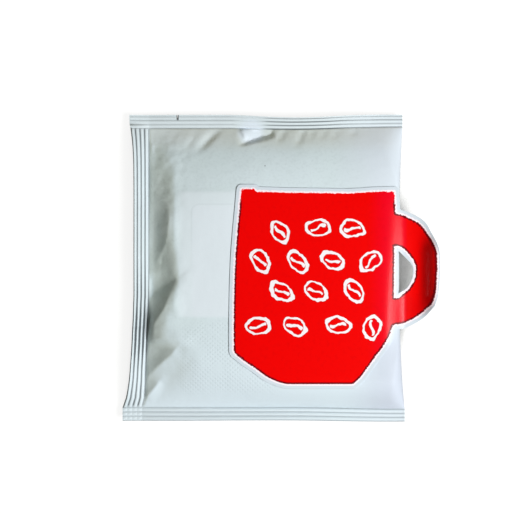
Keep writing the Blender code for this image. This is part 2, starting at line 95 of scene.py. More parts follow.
# creases of the film: points along the line, width on its left and on its right, height;
# a ridge stands up, a valley is pressed in, a step lifts the right side
frontCreases = (
    ("step", ((-43.6, 43.0), (-41.4, 27.0), (-39.2, 16.0), (-40.6, 6.0)), 3.2, 3.2, 0.45),
    ("ridge", ((-38.4, 24.0), (-37.8, 18.6), (-39.1, 9.4), (-43.8, 0.0)), 6.0, 5.4, 1.1),
    ("valley", ((-46.6, -10.4), (-41.4, -8.6), (-34.6, -4.0)), 7.0, 4.2, 2.0),
    ("ridge", ((-47.0, -29.6), (-43.9, -21.6), (-39.6, -15.6), (-36.6, -7.4)), 4.4, 9.0, 1.7),
    ("valley", ((-46.9, -28.2), (-46.5, -23.6), (-46.2, -17.4)), 1.0, 3.0, 2.60),
    ("ridge", ((-47.4, -43.6), (-42.2, -38.2), (-37.0, -33.6), (-33.6, -29.4)), 6.0, 7.0, 1.5),
    ("ridge", ((-47.4, -51.2), (-44.2, -47.4), (-41.2, -43.6)), 4.2, 4.0, 1.3),
    ("valley", ((-26.4, 45.2), (-23.2, 49.0), (-18.8, 53.6)), 3.6, 2.2, 1.3),
    ("valley", ((-31.6, 46.4), (-28.6, 50.0), (-27.4, 53.6)), 3.0, 3.0, 0.25),
    ("ridge", ((-8.2, 49.6), (-9.0, 52.0), (-10.4, 54.6)), 1.6, 5.0, 1.0),
    ("valley", ((4.8, 49.4), (7.2, 54.4)), 2.2, 1.4, 0.75),
    ("valley", ((12.0, 48.0), (14.6, 54.4)), 2.4, 1.4, 0.85),
    ("valley", ((16.4, 49.6), (18.2, 54.4)), 1.6, 1.2, 0.50),
    ("valley", ((21.2, 50.2), (22.6, 54.4)), 1.8, 1.3, 0.42),
    ("valley", ((26.0, 49.8), (27.4, 54.4)), 1.8, 1.3, 0.42),
    ("valley", ((33.2, 50.6), (34.2, 54.4)), 2.0, 1.4, 0.35),
)
backCreases = (
    ("valley", ((-46.6, 24.5), (-41.0, 17.0)), 4.0, 3.0, 0.90),
    ("valley", ((-46.4, -5.0), (-38.0, -12.0)), 4.0, 3.0, 1.00),
    ("ridge", ((-47.4, -31.0), (-39.0, -26.0)), 4.0, 3.0, 0.80),
    ("valley", ((-14.5, 53.4), (-8.0, 45.6)), 4.0, 3.0, 0.90),
    ("ridge", ((20.5, 53.4), (16.5, 47.0)), 4.0, 3.0, 0.70),
    ("valley", ((14.5, -53.4), (10.0, -46.8)), 4.0, 3.0, 0.60),
)

# the one deep tuck below the top seal: its sharp valley runs from the tip to the seal
topTuck = {"tip": (-11.2, 47.5), "end": (1.8, 53.0), "depth": 2.9, "above": 4.8, "below": 2.3}

# the card hanger inside, pressing through the film, with the folded frame round its opening
hangerMark = {
    "left": -36.3, "right": 22.0, "top": 29.6, "bottom": -19.2, "corner": 3.0,
    "relief": 0.09, "edge": 1.3, "frame": 7.2, "frameTop": 5.2, "frameLine": 0.5, "openBelow": 20.0,
}

insideLeft = sachetSizes["bodyShift"] - sachetSizes["bodyWidth"] / 2
insideTop = sachetSizes["bodyHeight"] / 2
foldX = sachetSizes["bodyShift"] + sachetSizes["bodyWidth"] / 2 - sachetSizes["foldPull"]


def ease(share):
    share = np.clip(share, 0.0, 1.0)
    return share * share * (3 - 2 * share)


def swell(inward, run, arched):  # 0 at the seal, 1 where the film lies on what is inside
    share = np.clip(inward / run, 0.0, 1.0)
    return arched * (1 - (1 - share) ** 3) + (1 - arched) * ease(share)


def quarterRound(inward, radius):
    share = 1 - np.clip(inward / radius, 0.0, 1.0)
    return np.sqrt(1 - share * share)


def bump(place, centre, half, power=2.0, finish=1.5):
    share = np.clip(np.abs(place - centre) / half, 0.0, 1.0)
    return (1 - share ** power) ** finish


def sideSealLine(y):
    places, outs = zip(*sideFlare)
    return insideLeft - np.interp(y, places, outs)


def foldLine(y):
    s = sachetSizes
    flare = np.where(y < 0, s["foldFlare"], 0.0)
    return foldX + (s["foldPull"] + flare) * (np.abs(y) / insideTop) ** 2.4


def labelDrop(x, y):  # steepest just before the fold, more so lower down on the label
    n = labelSlope
    share = np.clip((x - (foldX - n["start"])) / n["run"], 0.0, 1.0)
    depth = 1 - n["swing"] * np.tanh((y - n["middleY"]) / n["swingRun"])
    depth = depth * (1 - n["lowLess"] * ease((n["lowY"] - y) / n["endRun"]))
    depth = depth * (1 + n["highMore"] * ease((y - n["highY"]) / n["endRun"]))
    return n["depth"] * depth * share ** 4 * (5 - 4 * share)


def plateau(x, y):
    s = sachetSizes
    across = 1 - np.clip(np.abs(x) / s["crownHalfWidth"], 0, 1) ** 2
    along = 1 - np.clip(np.abs(y - s["crownY"]) / s["crownHalfHeight"], 0, 1) ** 2
    return s["frontHeight"] + s["crown"] * across * along - labelDrop(x, y)


def sealPlane(x, y):
    s = sachetSizes
    lift = s["foldLift"] * ease((x - insideLeft) / s["bodyWidth"]) * bump(y, 0, insideTop)
    out = np.abs(x) / (s["bodyWidth"] / 2) * np.abs(y) / insideTop
    return s["backLift"] + lift - s["cornerDroop"] * out ** 3


def alongLine(x, y, start, end):  # share along a line, and signed distance from it (left of it is +)
    start, end = np.array(start), np.array(end)
    line = end - start
    length = math.hypot(*line)
    raw = ((x - start[0]) * line[0] + (y - start[1]) * line[1]) / length ** 2
    share = np.clip(raw, 0.0, 1.0)
    offX, offY = x - (start[0] + line[0] * share), y - (start[1] + line[1] * share)
    side = np.sign(line[0] * offY - line[1] * offX)
    return share, raw, np.hypot(offX, offY) * np.where(side == 0, 1.0, side)


def alongCrease(x, y, points):  # the same along several lines that follow each other
    spans = [math.dist(a, b) for a, b in zip(points, points[1:])]
    bestShare, bestOff, passed = np.zeros_like(x), np.full_like(x, 1e6), 0.0
    for start, end, span in zip(points, points[1:], spans):
        share, _, off = alongLine(x, y, start, end)
        nearer = np.abs(off) < np.abs(bestOff)
        bestOff = np.where(nearer, off, bestOff)
        bestShare = np.where(nearer, (passed + share * span) / sum(spans), bestShare)
        passed += span
    return bestShare, bestOff


def creaseHeight(x, y, creases):
    total = np.zeros_like(x)
    for form, points, left, right, height in creases:
        share, off = alongCrease(x, y, points)
        ends = np.sin(np.pi * np.clip(share, 0.04, 0.96)) ** 0.6
        if form == "step":
            total -= height * ends * np.tanh(1.3 * off / left) * np.exp(-(off / (2.6 * left)) ** 2)
            continue
        near = np.clip(1 - np.where(off > 0, off / left, -off / right), 0, 1) ** 1.7
        total += (height if form == "ridge" else -height) * ends * near
    return total


def tuckHeight(x, y):
    t = topTuck
    share, raw, off = alongLine(x, y, t["tip"], t["end"])
    depth = t["depth"] * ease((raw + 0.02) / 0.3) * (0.45 + 0.55 * share) * ease((1.12 - raw) / 0.25)
    above = np.clip(1 - off / t["above"], 0, 1) ** 1.2
    below = np.clip(1 + off / (t["below"] * (0.45 + 0.75 * share)), 0, 1) ** 1.3
    return -depth * np.where(off > 0, above, below)


def boxShare(x, y, box, edge):  # 1 inside the hanger's rectangle, easing to 0 over its edge
    insideX = np.minimum(x - box["left"], box["right"] - x)
    insideY = np.minimum(y - box["bottom"], box["top"] - y)
    r = box["corner"]
    cornered = r - np.hypot(np.maximum(r - insideX, 0), np.maximum(r - insideY, 0))
    inside = np.where((insideX < r) & (insideY < r), cornered, np.minimum(insideX, insideY))
    return ease(inside / edge + 0.5)


def frontRise(x, y):
    s = sachetSizes
    places, runs, arches = (np.array(values) for values in zip(*sideRise))
    run, arched = np.interp(y, places, runs), np.interp(y, places, arches)
    atSides, atLeft = ease((np.abs(x - 4) - 8) / 20), ease((-18 - x) / 20)
    topRun = s["topRun"] * (1 + s["topRunSides"] * atSides + s["topRunLeft"] * atLeft)
    endRound = s["foldRoundEnds"] * (1 + s["foldRoundTop"] * np.tanh(y / 20))
    foldRound = s["foldRound"] + endRound * ease((np.abs(y) - 30) / 26)
    bottomRun = s["bottomRun"] * (1 + ease((10 - x) / 58))  # longer towards the side seal
    return (swell(x - sideSealLine(y), run, arched) * swell(insideTop - y, topRun, 0.8)
            * swell(y + insideTop, bottomRun, 0.6) * quarterRound(foldLine(y) - x, foldRound))


def smoothFront(x, y):
    base = sealPlane(x, y)
    return base + (plateau(x, y) - base) * frontRise(x, y)


def smallWaves(x, y, size, layer):  # gentle unevenness, the same on each run
    flat = np.array([noise.noise(Vector((a / size, b / size, layer))) for a, b in zip(x.flat, y.flat)])
    return flat.reshape(x.shape)


def underLabel(x, y):  # 1 where the stiff label holds the film flat
    return ease((x + 16.0) / 6.0) * ease((36.0 - y) / 6.0) * ease((y + 52.0) / 5.0)


def frontHeight(x, y):
    s, w = sachetSizes, filmWaves
    fade = ease((x - sideSealLine(y)) / 1.0) * ease((insideTop - y) / 1.0)
    free = 1 - underLabel(x, y)
    z = smoothFront(x, y)
    z += (creaseHeight(x, y, frontCreases) + tuckHeight(x, y)) * fade
    slope = 4 * frontRise(x, y) * (1 - frontRise(x, y))
    uneven = slope * ease((-26.0 - x) / 8.0) * (1 - ease((-32.0 - y) / 8.0))  # on the left slope only
    dents = w["dents"] * uneven * smallWaves(x, y, w["dentSize"], 3.1)
    z += fade * free * (dents + w["sway"] * smallWaves(x, y, w["swaySize"], 8.4))
    z += fade * free * (w["fine"] + w["crumple"] * uneven) * smallWaves(x, y, w["crumpleSize"], 5.2)
    z += hangerMark["relief"] * boxShare(x, y, hangerMark, hangerMark["edge"]) * free
    return np.maximum(z + s["filmPair"] / 2, backHeight(x, y) + s["filmPair"])  # never through the back


def backHeight(x, y):
    s, w = sachetSizes, filmWaves
    base = sealPlane(x, y)
    rise = (swell(x - sideSealLine(y), s["backSideRun"], 0.4) * swell(insideTop - y, s["topRun"], 0.5)
            * swell(y + insideTop, s["bottomRun"], 0.6) * swell(foldLine(y) - x, s["backFoldRun"], 0.5))
    free = (base - s["filmPair"] / 2) * (1 - rise)
    waves = creaseHeight(x, y, backCreases) + w["back"] * smallWaves(x, y, w["backSize"], 12.7)
    fade = ease((x - sideSealLine(y)) / 1.0) * ease((insideTop - y) / 1.0)
    return np.maximum(free + waves * ease(free / 1.6) * fade, 0.0)


def spread(low, high, step):
    count = max(1, round(abs(high - low) / step))
    return [low + (high - low) * i / count for i in range(count)]


def webLines():  # mesh lines: close over the ribs and wrinkles, wider under the label
    s = sachetSizes
    w, h = s["bodyWidth"], s["bodyHeight"]
    seal = spread(s["sideSeal"], 0.0, s["seamLine"])
    cols = [(out, 0.0) for out in seal]
    places = spread(0, 18, s["sideLine"]) + spread(18, 32, s["middleLine"]) + spread(32, 50, s["sideLine"])
    places += spread(50, w - 14, s["middleLine"]) + spread(w - 14, w - 2.4, 0.7)
    places += spread(w - 2.4, w, 0.3) + [w]
    cols += [(0.0, place / w) for place in places]
    rows = [(out, 0.0, 0.0) for out in spread(s["endSeal"], 0.0, s["seamLine"])]
    ups = spread(0, 4, 0.5) + spread(4, h - 16, s["upLine"]) + spread(h - 16, h, 0.45) + [h]
    rows += [(0.0, up / h, 0.0) for up in ups]
    rows += [(0.0, 1.0, out) for out in spread(0.0, s["endSeal"], s["seamLine"])[1:] + [s["endSeal"]]]
    return np.array(cols), np.array(rows)


def ribCut(out, margin, ribs, width, wide=0.8):  # 0 on a rib, 1 in its groove
    pitch = (width - margin) / ribs
    along = np.abs(np.sin(np.pi * np.clip(out, 0, width - margin) / pitch))
    return np.where((out >= 0) & (out <= width - margin), 1 - along ** wide, 0.0)


def webPoints(front):
    s, c, k = sachetSizes, sealCuts, endSkew
    cols, rows = webLines()
    outLeft, outBottom = np.meshgrid(cols[:, 0], rows[:, 0])
    across, up = np.meshgrid(cols[:, 1], rows[:, 1])
    outTop = np.meshgrid(cols[:, 0], rows[:, 2])[1]
    y = -insideTop + 2 * insideTop * up
    x = sideSealLine(y) + (foldLine(y) - sideSealLine(y)) * across

    grooveWide = c["wide"] + c["wider"] * bump(y, c["widerY"], c["widerHalf"])
    sideCut = np.where(across == 0, ribCut(outLeft, 0.0, s["sideRibs"], s["sideSeal"], grooveWide), 0.0)
    topCut = np.where(up == 1, ribCut(outTop, s["topMargin"], s["topRibs"], s["endSeal"]), 0.0)
    bottomCut = np.where(up == 0, ribCut(outBottom, s["bottomMargin"], s["bottomRibs"], s["endSeal"]), 0.0)
    inTop, inBottom = outTop > 0, outBottom > 0
    inEnd = inTop | inBottom
    pressed = np.where(inTop, c["underTop"], np.where(inBottom, c["underBottom"], 1.0))
    cut = np.maximum(np.maximum(topCut, bottomCut), sideCut * pressed)
    cut = np.where((across == 0) & (outLeft == 0) & ~inEnd, c["sideInner"] * cut, cut)
    cut = np.where(inEnd & (outTop + outBottom < 0.15), c["endInner"] * cut, cut)
    rim = ease((outLeft - s["sideSeal"] + 0.5) / 0.4) * ease((4.0 - y) / 30.0)
    cut = np.maximum(cut, c["rim"] * rim * ~inEnd)  # the cut edge low on the side: pressed down, and painted dark as shade
    inSeal = (across == 0) | (up == 0) | (up == 1)
    seam = sealPlane(x, y) + (s["filmPair"] / 2 if front else -s["filmPair"] / 2) - s["ribDepth"] * cut
    body = frontHeight(x, y) if front else backHeight(x, y)
    z = np.where(inSeal, seam, body)

    sideTilt = s["endTilt"] + (s["sideTilt"] - s["endTilt"]) * bump(y, 2.0, insideTop + 2.2, 9.0, 1.2)
    sideTilt = sideTilt * (1 - 0.75 * ease(outTop / 2.5))  # held down where the top seal crosses it
    topTilt = s["endTilt"] + (s["topTilt"] - s["endTilt"]) * bump(x, s["topTiltCentre"], 34.0, 2.0, 1.6)
    bottomTilt = s["endTilt"] + (s["bottomTilt"] - s["endTilt"]) * bump(x, 0.0, s["bodyWidth"] / 2)
    sideTilt, topTilt, bottomTilt = np.radians(sideTilt), np.radians(topTilt), np.radians(bottomTilt)
    z = z + outLeft * np.sin(sideTilt) + outTop * np.sin(topTilt) + outBottom * np.sin(bottomTilt)
    z = z - s["cutCurl"] * ease((outLeft - s["sideSeal"] + 0.55) / 0.55) * ~inEnd
    sealShare = np.clip(outLeft / 3.0, 0, 1)
    z = z + filmWaves["seal"] * sealShare * smallWaves(y * 0 + 40.0, y, filmWaves["sealSize"], 1.7)
    z = z - s["kinkDepth"] * sealShare * np.exp(-((y - s["kinkY"]) / 0.8) ** 2)
    skewTop = k["top"] + k["topMiddle"] * bump(x, 9.0, 22.0) + k["topRight"] * ease((x - 20.0) / 32.0)
    skewBottom = k["bottomRight"] * ease((x - 10.0) / 42.0)
    skew = skewTop * ease((y - 22.0) / 30.0) + skewBottom * ease((-30.0 - y) / 22.0)
    x = x - outLeft * np.cos(sideTilt)
    endShort = 1 - k["narrower"] * ease((x - 10.0) / 42.0)
    y = y + skew + endShort * (outTop * np.cos(topTilt) - outBottom * np.cos(bottomTilt))
    return x, y, z, cut, inSeal


# how dark the painted shade in the grooves is along each seal
grooveDark = {
    "side": 0.80, "sideLow": 0.30, "sideLowest": 0.3, "top": 0.46, "topMiddle": 0.50, "topRight": 0.16,
    "overTuck": 0.65, "bottom": 0.40, "bottomRight": 0.08,
}


def grooveShade(x, y):  # painted groove shade: darkest low on the side seal and right of the tuck, palest along the bottom
    g = grooveDark
    side = g["side"] + g["sideLow"] * ease((6.0 - y) / 22.0) - g["sideLowest"] * ease((-31.0 - y) / 12.0)
    atEnd = ease((np.abs(y) - insideTop + 0.9) / 0.6)
    top = g["top"] + g["topMiddle"] * bump(x, 14.0, 26.0) + g["topRight"] * ease((x - 30.0) / 15.0)
    top = top * (1 - g["overTuck"] * bump(x, -6.5, 7.0, 2.0, 1.0))  # paler painted groove shade above the tuck
    end = np.where(y > 0, top, g["bottom"] + g["bottomRight"] * ease((x + 30.0) / 60.0))
    return side + (end - side) * atEnd


def seamShade(x, y):  # painted shade in the gap where the filled body bulges over the side seal
    along = bump(y, -20.5, 8.0, 2.0, 1.0)
    return along * np.exp(-np.clip(x - sideSealLine(y), 0, 9) / 0.9)


def selectNothing():
    if bpy.context.object and bpy.context.object.mode != "OBJECT":
        bpy.ops.object.mode_set(mode="OBJECT")
    bpy.ops.object.select_all(action="DESELECT")


def makeActive(thing):
    selectNothing()
    thing.select_set(True)
    bpy.context.view_layer.objects.active = thing


def putInPlace(thing):  # object at the origin, its place in its mesh
    makeActive(thing)
    bpy.ops.object.transform_apply(location=True, rotation=True, scale=True)


def cutWith(thing, cutter, how):
    makeActive(thing)
    step = thing.modifiers.new(how, "BOOLEAN")
    step.operation = how
    step.solver = "MANIFOLD"
    step.object = cutter
    bpy.ops.object.modifier_apply(modifier=step.name)
    bpy.data.objects.remove(cutter)


def filmSheet(name, front):
    x, y, z, cut, inSeal = webPoints(front)
    rowCount, colCount = x.shape
    selectNothing()
    bpy.ops.mesh.primitive_grid_add(x_subdivisions=colCount - 1, y_subdivisions=rowCount - 1, size=1)
    sheet = bpy.context.object
    sheet.name = name
    places = np.stack([x, y, z], axis=-1).reshape(-1, 3) * mm
    sheet.data.vertices.foreach_set("co", places.ravel())
    # the groove attribute carries painted shade: the seal grooves, their cut edge and the gap by the side
    # seal
    groove = sheet.data.attributes.new("groove", "FLOAT", "POINT")
    groove.data.foreach_set("value", np.maximum(cut * grooveShade(x, y), seamShade(x, y) * ~inSeal).ravel())
    seam = sheet.data.attributes.new("seam", "FLOAT", "POINT")
    seam.data.foreach_set("value", inSeal.ravel().astype(float))
    sheet.data.update()
    if not front:
        makeActive(sheet)
        bpy.ops.object.mode_set(mode="EDIT")
        bpy.ops.mesh.select_all(action="SELECT")
        bpy.ops.mesh.flip_normals()
        bpy.ops.object.mode_set(mode="OBJECT")
    return sheet


def slitCutter():
    s = sachetSizes
    selectNothing()
    bpy.ops.mesh.primitive_cube_add(size=1)
    cutter = bpy.context.object
    topY = insideTop + s["endSeal"]
    for corner in cutter.data.vertices:
        far = corner.co.y > 0
        wide = s["slitWidth"] * (1.25 if far else 0.35)
        lean = 0.12 if far else -0.1
        corner.co = Vector(((s["slitX"] + lean + corner.co.x * wide) * mm,
                            (topY + 3 if far else topY - s["slitDepth"]) * mm, (8 + corner.co.z * 16) * mm))
    return cutter


def makeSachet():
    frontSheet = filmSheet("sachetFilm", True)
    backSheet = filmSheet("sachetBack", False)
    selectNothing()
    backSheet.select_set(True)
    frontSheet.select_set(True)
    bpy.context.view_layer.objects.active = frontSheet
    bpy.ops.object.join()
    bpy.ops.object.mode_set(mode="EDIT")
    bpy.ops.mesh.select_mode(type="EDGE")
    bpy.ops.mesh.select_all(action="DESELECT")
    bpy.ops.mesh.select_non_manifold(extend=False)
    bpy.ops.mesh.bridge_edge_loops()
    bpy.ops.object.mode_set(mode="OBJECT")
    cutWith(frontSheet, slitCutter(), "DIFFERENCE")
    makeActive(frontSheet)
    bpy.ops.object.shade_smooth_by_angle(angle=math.radians(50))
    frontSheet.data.materials.clear()
    frontSheet.data.materials.append(filmMaterial())
    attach(frontSheet, "root")
    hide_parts("sachet")


# the label, set out from the sachet's fold
labelSizes = {
    "thickness": 0.28, "offFilm": 0.17, "border": 1.9, "handleBorder": 1.1, "chamfer": 0.12, "mesh": 0.8,
    "outlineStep": 0.7, "narrowStart": 8.0, "narrowRun": 6.0, "curl": 5.5, "curlStart": 6.0, "curlRun": 7.7,
    "curlTop": 0.25, "curlTopY": 14.0, "curlBottom": 0.5, "curlBottomY": -20.0, "curlEase": 9.0,
}
mugOutline = (
    (False, ((-61.1, 30.2), (-56.0, 30.2), (-55.4, 29.3))),
    (True, ((-44.5, 28.9), (-30.8, 28.7), (-19.1, 28.6), (-9.4, 29.2))),
    (False, ((-2.2, 29.4), (-1.6, 20.9))),
    (True, ((1.2, 20.2), (7.4, 17.1), (10.3, 13.5), (12.8, 9.4), (13.9, 6.0), (14.1, 1.0),
            (13.8, -6.8), (13.1, -11.6))),
    (False, ((12.1, -14.2),)),
    (True, ((9.4, -16.8), (6.4, -19.1), (3.0, -20.9), (0.4, -21.8))),
    (True, ((-2.2, -22.0), (-3.1, -23.4), (-4.1, -26.3), (-6.3, -30.0), (-10.0, -35.0), (-15.0, -42.0))),
    (False, ((-18.0, -44.9), (-43.6, -44.9))),
    (True, ((-46.8, -44.1), (-51.6, -41.8), (-55.5, -38.9), (-60.1, -35.8))),
    (True, ((-63.6, -33.0), (-64.0, -30.0), (-64.0, -22.0), (-63.9, -12.7), (-63.5, 1.0), (-62.7, 12.7),
            (-61.8, 22.4))),
)
holeOutline = (
    (False, ((-0.5, 6.6),)),
    (True, ((1.8, 4.2), (4.3, 1.6), (5.1, -0.6), (4.9, -3.9), (3.4, -7.2), (1.8, -8.7))),
    (False, ((-0.5, -9.9),)),
)
frameOutline = (
    (False, ((-2.1, 8.6),)),
    (True, ((0.0, 8.1), (2.0, 6.8), (4.2, 4.3), (5.8, 1.6), (6.2, -1.4), (5.6, -4.9), (3.1, -8.7))),
    (False, ((-0.5, -11.6), (-2.3, -11.8))),
)


def roundThrough(points, before, after, step):  # Catmull-Rom through given points
    chain = [np.array(p) for p in (before, *points, after)]
    made = []
    for a, b, c, d in zip(chain, chain[1:], chain[2:], chain[3:]):
        count = max(1, round(math.dist(b, c) / step))
        for i in range(count):
            t = i / count
            made.append(0.5 * (2 * b + (c - a) * t + (2 * a - 5 * b + 4 * c - d) * t * t
                               + (3 * b - a - 3 * c + d) * t ** 3))
    return made + [chain[-2]]


def outlineOf(stretches, step):
    corners = []
    for i, (isRound, points) in enumerate(stretches):
        before, after = stretches[i - 1][1][-1], stretches[(i + 1) % len(stretches)][1][0]
        corners += roundThrough(points, before, after, step) if isRound else [np.array(p) for p in points]
    made = []
    for a, b in zip(corners, corners[1:] + corners[:1]):
        count = max(1, math.ceil(math.dist(a, b) / step))
        made += [a + (b - a) * i / count for i in range(count)]
    return [(foldX + p[0], p[1]) for p in made]


def grownOutline(outline, border):  # moved outwards, with round outer corners
    made = []
    for last, here, after in zip(outline[-1:] + outline[:-1], outline, outline[1:] + outline[:1]):
        into = Vector((here[0] - last[0], here[1] - last[1])).normalized()
        outOf = Vector((after[0] - here[0], after[1] - here[1])).normalized()
        turn = math.atan2(into.x * outOf.y - into.y * outOf.x, into.dot(outOf))
        start = math.atan2(into.x, -into.y)
        by = border(here[0]) if callable(border) else border
        if turn < -0.3 and by > 0:
            count = math.ceil(-turn / 0.3)
            angles = [start + turn * i / count for i in range(count + 1)]
            made += [(here[0] + by * math.cos(a), here[1] + by * math.sin(a)) for a in angles]
        else:
            reach = by / max(math.cos(turn / 2), 0.5)
            middle = start + turn / 2
            made.append((here[0] + reach * math.cos(middle), here[1] + reach * math.sin(middle)))
    if not callable(border):
        return made
    away = -insideDistance(np.array(made), outline)
    return [p for p, gap in zip(made, away) if gap > 0.95 * border(p[0])]  # no loops in its inner corners


def insideDistance(points, outline):  # + inside, - outside, in millimetres
    px, py = points[:, 0], points[:, 1]
    nearest = np.full(len(points), 1e9)
    inside = np.zeros(len(points), bool)
    for (ax, ay), (bx, by) in zip(outline, outline[1:] + outline[:1]):
        lx, ly = bx - ax, by - ay
        length = lx * lx + ly * ly
        if length < 1e-12:
            continue
        share = np.clip(((px - ax) * lx + (py - ay) * ly) / length, 0, 1)
        nearest = np.minimum(nearest, np.hypot(px - ax - lx * share, py - ay - ly * share))
        if ay != by:
            crossing = ((ay > py) != (by > py)) & (px < ax + (py - ay) / ly * lx)
            inside ^= crossing
    return np.where(inside, nearest, -nearest)


def labelHeight(x, y):  # its underside: on the film, straight past the fold, then curling up
    s, l = sachetSizes, labelSizes
    filmX = np.minimum(x, foldX - s["foldRound"])
    share = np.clip((x - foldX - l["curlStart"]) / l["curlRun"], 0, 1)
    curl = l["curl"] * share ** 3 * (4 - 3 * share)
    curl = curl * (l["curlTop"] + (1 - l["curlTop"]) * ease((l["curlTopY"] - y) / l["curlEase"]))
    curl = curl * (l["curlBottom"] + (1 - l["curlBottom"]) * ease((y - l["curlBottomY"]) / l["curlEase"]))
    onwards = plateau(x, y) - plateau(filmX, y)
    return smoothFront(filmX, y) + s["filmPair"] / 2 + l["offFilm"] + onwards + curl


def prism(name, rings):  # closed solid through rings of points: (outline, height)
    selectNothing()
    count = len(rings[0][0])
    bpy.ops.mesh.primitive_circle_add(vertices=count, fill_type="NGON")
    solid = bpy.context.object
    solid.name = name
    for vertex, (x, y) in zip(solid.data.vertices, rings[0][0]):
        vertex.co = (x, y, rings[0][1])
    for outline, height in rings[1:]:
        before = len(solid.data.vertices)
        bpy.ops.object.mode_set(mode="EDIT")
        bpy.ops.mesh.select_mode(type="FACE")
        bpy.ops.mesh.select_all(action="DESELECT")
        bpy.ops.object.mode_set(mode="OBJECT")
        ends = [face for face in solid.data.polygons if len(face.vertices) == count]
        max(ends, key=lambda face: face.center.z).select = True
        bpy.ops.object.mode_set(mode="EDIT")
        bpy.ops.mesh.extrude_region_move(TRANSFORM_OT_translate={"value": (0, 0, 1)})
        bpy.ops.object.mode_set(mode="OBJECT")
        for vertex, (x, y) in zip(list(solid.data.vertices)[before:], outline):
            vertex.co = (x, y, height)
    bpy.ops.object.mode_set(mode="EDIT")
    bpy.ops.mesh.select_all(action="SELECT")
    bpy.ops.mesh.normals_make_consistent(inside=False)
    bpy.ops.object.mode_set(mode="OBJECT")
    return solid


def labelBorder(x):  # narrower round the outside of the handle
    narrow = float(ease((x - foldX - labelSizes["narrowStart"]) / labelSizes["narrowRun"]))
    return labelSizes["border"] + (labelSizes["handleBorder"] - labelSizes["border"]) * narrow


def makeLabel():
    l = labelSizes
    printEdge = outlineOf(mugOutline, l["outlineStep"])
    cutEdge = grownOutline(printEdge, labelBorder)
    insetEdge = grownOutline(cutEdge, -2 * l["chamfer"])
    hole = outlineOf(holeOutline, l["outlineStep"])
    low = np.min(cutEdge, axis=0) - 2
    high = np.max(cutEdge, axis=0) + 2
    counts = [math.ceil(span / l["mesh"]) for span in high - low]
    selectNothing()
    bpy.ops.mesh.primitive_grid_add(x_subdivisions=counts[0], y_subdivisions=counts[1], size=1)
    label = bpy.context.object
    label.name = "cupLabel"
    label.scale = (*(high - low), 1)
    label.location = (*(high + low) / 2, 0)
    putInPlace(label)
    paper = label.modifiers.new("paper", "SOLIDIFY")
    paper.thickness = l["thickness"]
    paper.offset = 1
    bpy.ops.object.modifier_apply(modifier="paper")
    c = l["chamfer"]
    cutWith(label, prism("labelCutter", [(cutEdge, -1), (cutEdge, l["thickness"] - c),
                                         (insetEdge, l["thickness"] + c)]), "INTERSECT")
    cutWith(label, prism("holeCutter", [(hole, -1), (hole, 2)]), "DIFFERENCE")
    places = np.empty(len(label.data.vertices) * 3)
    label.data.vertices.foreach_get("co", places)
    places = places.reshape(-1, 3)
    ink = np.minimum(insideDistance(places, printEdge),
                     -insideDistance(places, outlineOf(frameOutline, l["outlineStep"])))
    ink = np.where(places[:, 2] > l["thickness"] / 2, ink, -5.0)  # its underside is bare paper
    inkDepth = label.data.attributes.new("inkDepth", "FLOAT", "POINT")
    inkDepth.data.foreach_set("value", ink)
    places[:, 2] += labelHeight(places[:, 0], places[:, 1])
    label.data.vertices.foreach_set("co", (places * mm).ravel())
    label.data.update()
    makeActive(label)
    bpy.ops.object.shade_smooth_by_angle(angle=math.radians(35))
    label.data.materials.clear()
    label.data.materials.append(labelMaterial())
    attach(label, "root")
    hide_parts("cup_label")


def newMaterial(name):
    made = bpy.data.materials.new(name)
    made.use_nodes = True
    return made, made.node_tree, made.node_tree.nodes["Principled BSDF"]


def addNode(tree, kind, **settings):
    node = tree.nodes.new(kind)
    for key, value in settings.items():
        setattr(node, key, value)
    return node


def feed(tree, socket, value):
    if isinstance(value, bpy.types.NodeSocket):
        tree.links.new(value, socket)
    else:
        socket.default_value = value


def calc(tree, operation, *values):
    node = addNode(tree, "ShaderNodeMath", operation=operation)
    for socket, value in zip(node.inputs, values):
        feed(tree, socket, value)
    return node.outputs[0]


def times(tree, first, *others):
    for other in others:
        first = calc(tree, "MULTIPLY", first, other)
    return first


def minus(tree, first, second):
    return calc(tree, "SUBTRACT", first, second)


def between(tree, value, low, high):  # 0 at low, 1 at high, eased
    node = addNode(tree, "ShaderNodeMapRange", interpolation_type="SMOOTHSTEP")
    for socket, given in zip(node.inputs, (value, low, high, 0.0, 1.0)):
        feed(tree, socket, given)
    return node.outputs[0]


def blendColour(tree, share, first, second, how="MIX"):
    node = addNode(tree, "ShaderNodeMix", data_type="RGBA", blend_type=how)
    feed(tree, node.inputs[0], share)
    feed(tree, node.inputs[6], first)
    feed(tree, node.inputs[7], second)
    return node.outputs[2]


def noiseOf(tree, coords, size, detail=2.0):  # size is the grain in millimetres
    node = addNode(tree, "ShaderNodeTexNoise")
    feed(tree, node.inputs["Vector"], coords)
    node.inputs["Scale"].default_value = 1 / size
    node.inputs["Detail"].default_value = detail
    return node.outputs["Fac"]


def partsOf(tree, vector):
    node = addNode(tree, "ShaderNodeSeparateXYZ")
    feed(tree, node.inputs[0], vector)
    return node.outputs


def flatPoint(tree, x, y):
    node = addNode(tree, "ShaderNodeCombineXYZ")
    feed(tree, node.inputs[0], x)
    feed(tree, node.inputs[1], y)
    return node.outputs[0]


def attribute(tree, name):
    return addNode(tree, "ShaderNodeAttribute", attribute_name=name).outputs["Fac"]


def addBump(tree, shader, height):  # height in millimetres
    bumps = addNode(tree, "ShaderNodeBump")
    bumps.inputs["Distance"].default_value = mm
    feed(tree, bumps.inputs["Height"], height)
    feed(tree, shader.inputs["Normal"], bumps.outputs[0])


def objectMillimetres(tree):
    coords = addNode(tree, "ShaderNodeTexCoord")
    scaled = addNode(tree, "ShaderNodeVectorMath", operation="SCALE")
    feed(tree, scaled.inputs[0], coords.outputs["Object"])
    scaled.inputs["Scale"].default_value = 1 / mm
    x, y, _ = partsOf(tree, scaled.outputs[0])
    return scaled.outputs[0], x, y


